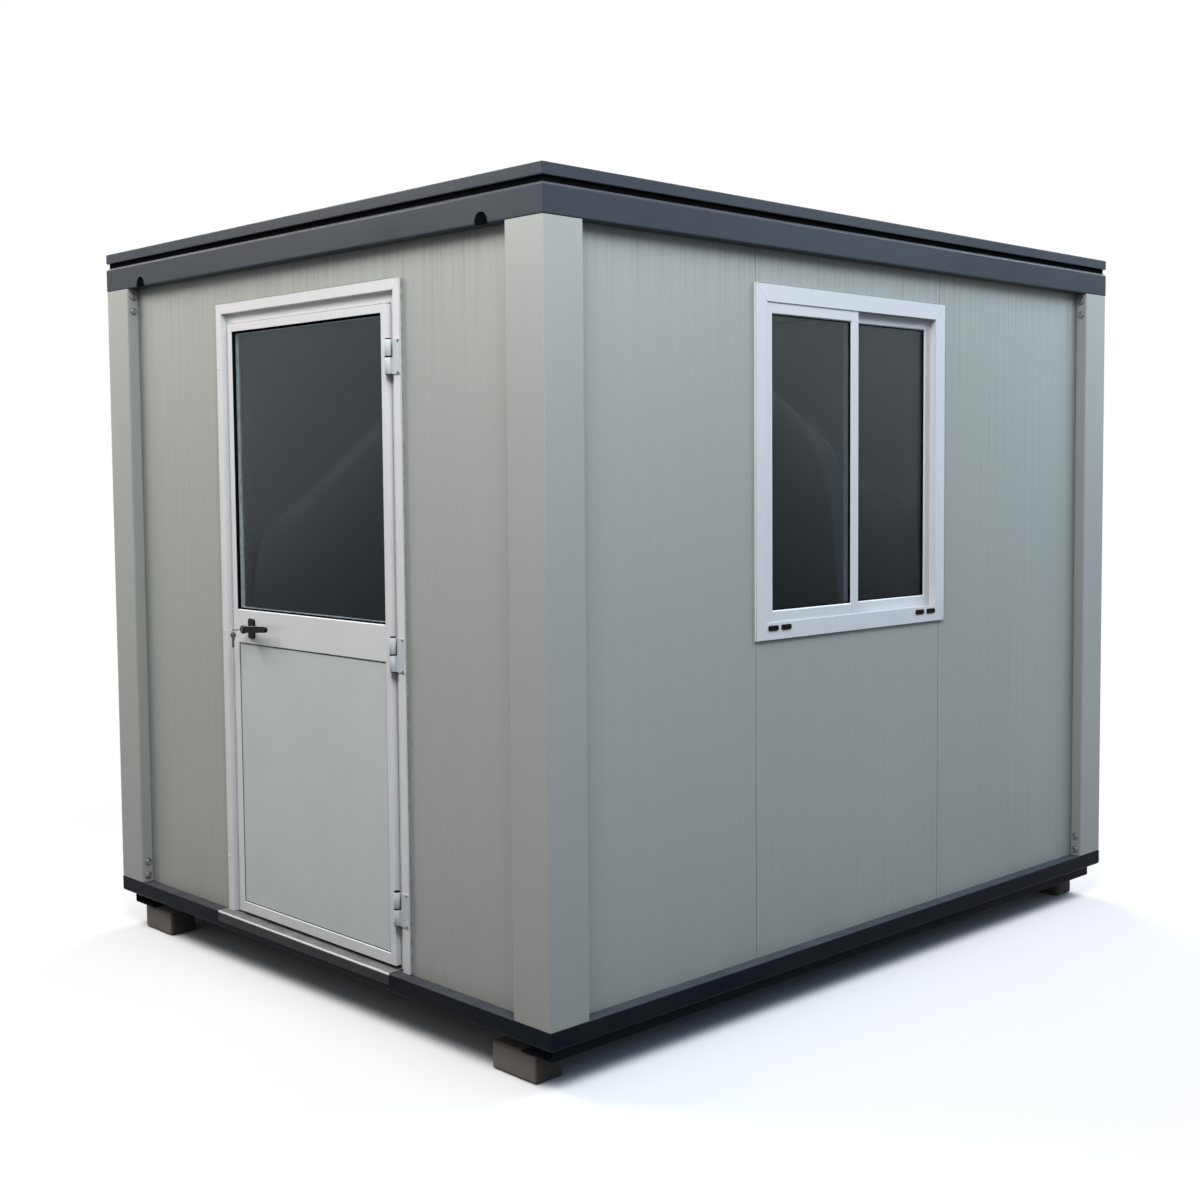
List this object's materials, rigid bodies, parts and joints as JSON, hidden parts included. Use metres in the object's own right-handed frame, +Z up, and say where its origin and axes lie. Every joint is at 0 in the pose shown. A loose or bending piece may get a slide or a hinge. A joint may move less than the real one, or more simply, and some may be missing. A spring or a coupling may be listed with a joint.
{
  "type": "portable office unit",
  "caption": "Flat-roofed portable office cabin of sandwich panels in a steel frame, with a half-glazed swing door and a sliding window, standing on blocks.",
  "frame": {"origin": "on the ground, at the middle of the cabin's footprint", "axes": "+X to the window side, +Y from the door side to the back, +Z up"},
  "size_m": [2.565, 3.022, 2.612],
  "materials": {
    "concrete_blocks": "rough, cast and dusty",
    "base_steel": "satin anthracite paint, dusty",
    "joist_steel": "satin primer",
    "floor_board": "matt sealed board",
    "post_steel": "satin light grey paint",
    "wall_panel_skin": "satin light grey coated sheet",
    "roof_panel_skin": "satin light grey coated sheet",
    "roof_steel": "satin dark grey paint",
    "sill_metal": "worn bare metal",
    "white_profile": "satin white coated aluminium",
    "white_panel": "satin white coated panel",
    "hinge_metal": "satin white coated",
    "black_handle": "satin black",
    "glazing": "clear glass, dark room behind"
  },
  "bodies": {
    "cabin": {"support_blocks": "concrete_blocks", "left_runner": "base_steel", "right_runner": "base_steel", "front_base_beam": "base_steel", "back_base_beam": "base_steel", "left_base_beam": "base_steel", "right_base_beam": "base_steel", "floor_joists": "joist_steel", "floor_deck": "floor_board", "front_left_post": "post_steel", "front_right_post": "post_steel", "back_left_post": "post_steel", "back_right_post": "post_steel", "front_wall_left": "wall_panel_skin", "front_wall_right": "wall_panel_skin", "front_wall_over_door": "wall_panel_skin", "right_wall_front": "wall_panel_skin", "right_wall_middle": "wall_panel_skin", "right_wall_back": "wall_panel_skin", "left_wall_front": "wall_panel_skin", "left_wall_middle": "wall_panel_skin", "left_wall_back": "wall_panel_skin", "back_wall_left": "wall_panel_skin", "back_wall_middle": "wall_panel_skin", "back_wall_right": "wall_panel_skin", "front_roof_beam": "roof_steel", "back_roof_beam": "roof_steel", "left_roof_beam": "roof_steel", "right_roof_beam": "roof_steel", "roof_panels": "roof_panel_skin", "roof_edge_trim": "roof_steel", "door_frame": "white_profile", "door_sill": "sill_metal", "hinge_frame_parts": "hinge_metal", "window_frame": "white_profile", "outer_sash": "white_profile", "inner_sash": "white_profile", "window_panes": "glazing"},
    "door": {"door_leaf": "white_profile", "door_glass": "glazing", "door_lower_panel": "white_panel", "hinge_door_parts": "hinge_metal", "handle_plates": "black_handle"},
    "lever": {"door_lever": "black_handle"}
  },
  "joints": [
    {"name": "door_hinge", "type": "hinge", "parent": "cabin", "child": "door", "pos_m": [0.5155, -1.4775, 1.2], "axis": [0, 0, 1], "range_deg": [0, 170]},
    {"name": "lever_turn", "type": "hinge", "parent": "door", "child": "lever", "pos_m": [-0.328, -1.4725, 1.227], "axis": [0, 1, 0], "range_deg": [0, 40], "stiffness_Nm_per_rad": 0.8, "springref_deg": -34.38}
  ]
}
